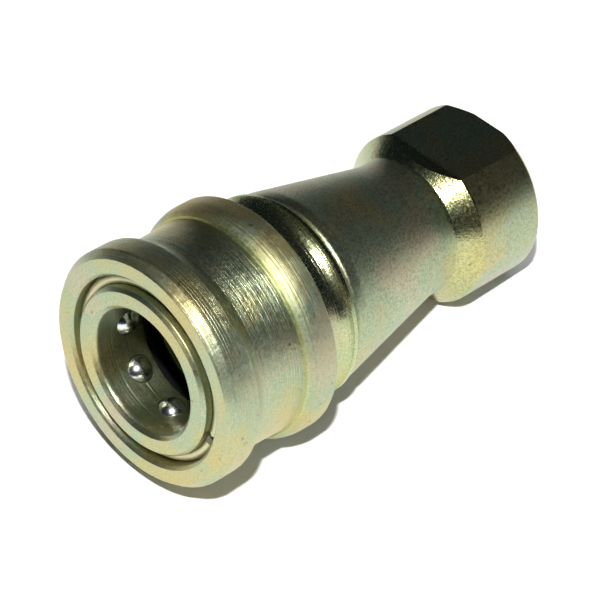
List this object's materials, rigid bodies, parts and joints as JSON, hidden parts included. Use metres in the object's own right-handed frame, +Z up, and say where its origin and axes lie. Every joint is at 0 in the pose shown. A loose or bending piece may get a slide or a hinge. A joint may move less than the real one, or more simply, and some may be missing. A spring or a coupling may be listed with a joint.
{
  "type": "hydraulic quick coupler socket",
  "caption": "Socket half of a ball-lock hydraulic quick coupler: pull-back spring sleeve, locking balls, poppet shut-off valve and a pipe port with wrench flats.",
  "frame": {"origin": "on the ground, below the middle of the bounding box", "axes": "+X towards the pipe port in plan, +Z up; the part lies on its sleeve's rim and on its lower wrench flat, so its axis falls 7.7 degrees towards the port"},
  "size_m": [0.0888, 0.0446, 0.0472],
  "materials": {
    "sleeve_steel": "turned, yellow zinc plate",
    "body_steel": "turned, yellow zinc plate",
    "ball_steel": "polished hard steel",
    "ring_steel": "spring steel",
    "spring_steel": "spring steel wire",
    "valve_steel": "turned, yellow zinc plate",
    "seal_rubber": "smooth",
    "backup_plastic": "smooth"
  },
  "bodies": {
    "body": {"socket_body": "body_steel", "rear_body": "body_steel", "snap_ring": "ring_steel", "plug_seal": "seal_rubber", "backup_ring": "backup_plastic", "joint_seal": "seal_rubber", "valve_guide": "valve_steel", "valve_spring": "spring_steel"},
    "spring_turn": {"sleeve_spring": "spring_steel"},
    "sleeve": {"sleeve": "sleeve_steel"},
    "poppet": {"poppet": "valve_steel", "poppet_seal": "seal_rubber"},
    "locking_ball_1": {"locking_ball_1": "ball_steel"},
    "locking_ball_2": {"locking_ball_2": "ball_steel"},
    "locking_ball_3": {"locking_ball_3": "ball_steel"},
    "locking_ball_4": {"locking_ball_4": "ball_steel"},
    "locking_ball_5": {"locking_ball_5": "ball_steel"},
    "locking_ball_6": {"locking_ball_6": "ball_steel"},
    "locking_ball_7": {"locking_ball_7": "ball_steel"},
    "locking_ball_8": {"locking_ball_8": "ball_steel"}
  },
  "joints": [
    {"name": "sleeve_spin", "type": "hinge", "parent": "body", "child": "spring_turn", "pos_m": [-0.02967, 0, 0.02375], "axis": [0.991, 0, -0.1337], "continuous": true},
    {"name": "sleeve_slide", "type": "slide", "parent": "spring_turn", "child": "sleeve", "axis": [0.991, 0, -0.1337], "range_m": [0, 0.0055], "stiffness_N_per_m": 3000, "springref_m": -0.006, "deforming": ["sleeve_spring"]},
    {"name": "poppet_slide", "type": "slide", "parent": "body", "child": "poppet", "axis": [0.991, 0, -0.1337], "range_m": [0, 0.006], "stiffness_N_per_m": 1500, "springref_m": -0.008, "deforming": ["valve_spring"]},
    {"name": "locking_ball_1_lift", "type": "slide", "parent": "body", "child": "locking_ball_1", "axis": [0.0993, -0.6691, 0.7365], "range_m": [0, 0.00151]},
    {"name": "locking_ball_2_lift", "type": "slide", "parent": "body", "child": "locking_ball_2", "axis": [0.007, -0.9986, 0.0519], "range_m": [0, 0.00151]},
    {"name": "locking_ball_3_lift", "type": "slide", "parent": "body", "child": "locking_ball_3", "axis": [-0.0894, -0.7431, -0.6631], "range_m": [0, 0.00151]},
    {"name": "locking_ball_4_lift", "type": "slide", "parent": "body", "child": "locking_ball_4", "axis": [-0.1335, -0.0523, -0.9897], "range_m": [0, 0.00151]},
    {"name": "locking_ball_5_lift", "type": "slide", "parent": "body", "child": "locking_ball_5", "axis": [-0.0993, 0.6691, -0.7365], "range_m": [0, 0.00151]},
    {"name": "locking_ball_6_lift", "type": "slide", "parent": "body", "child": "locking_ball_6", "axis": [-0.007, 0.9986, -0.0519], "range_m": [0, 0.00151]},
    {"name": "locking_ball_7_lift", "type": "slide", "parent": "body", "child": "locking_ball_7", "axis": [0.0894, 0.7431, 0.6631], "range_m": [0, 0.00151]},
    {"name": "locking_ball_8_lift", "type": "slide", "parent": "body", "child": "locking_ball_8", "axis": [0.1335, 0.0523, 0.9897], "range_m": [0, 0.00151]}
  ],
  "couplings": [
    {"joint": "locking_ball_1_lift", "follows": "sleeve_slide", "ratio": 0.2745},
    {"joint": "locking_ball_2_lift", "follows": "sleeve_slide", "ratio": 0.2745},
    {"joint": "locking_ball_3_lift", "follows": "sleeve_slide", "ratio": 0.2745},
    {"joint": "locking_ball_4_lift", "follows": "sleeve_slide", "ratio": 0.2745},
    {"joint": "locking_ball_5_lift", "follows": "sleeve_slide", "ratio": 0.2745},
    {"joint": "locking_ball_6_lift", "follows": "sleeve_slide", "ratio": 0.2745},
    {"joint": "locking_ball_7_lift", "follows": "sleeve_slide", "ratio": 0.2745},
    {"joint": "locking_ball_8_lift", "follows": "sleeve_slide", "ratio": 0.2745}
  ]
}
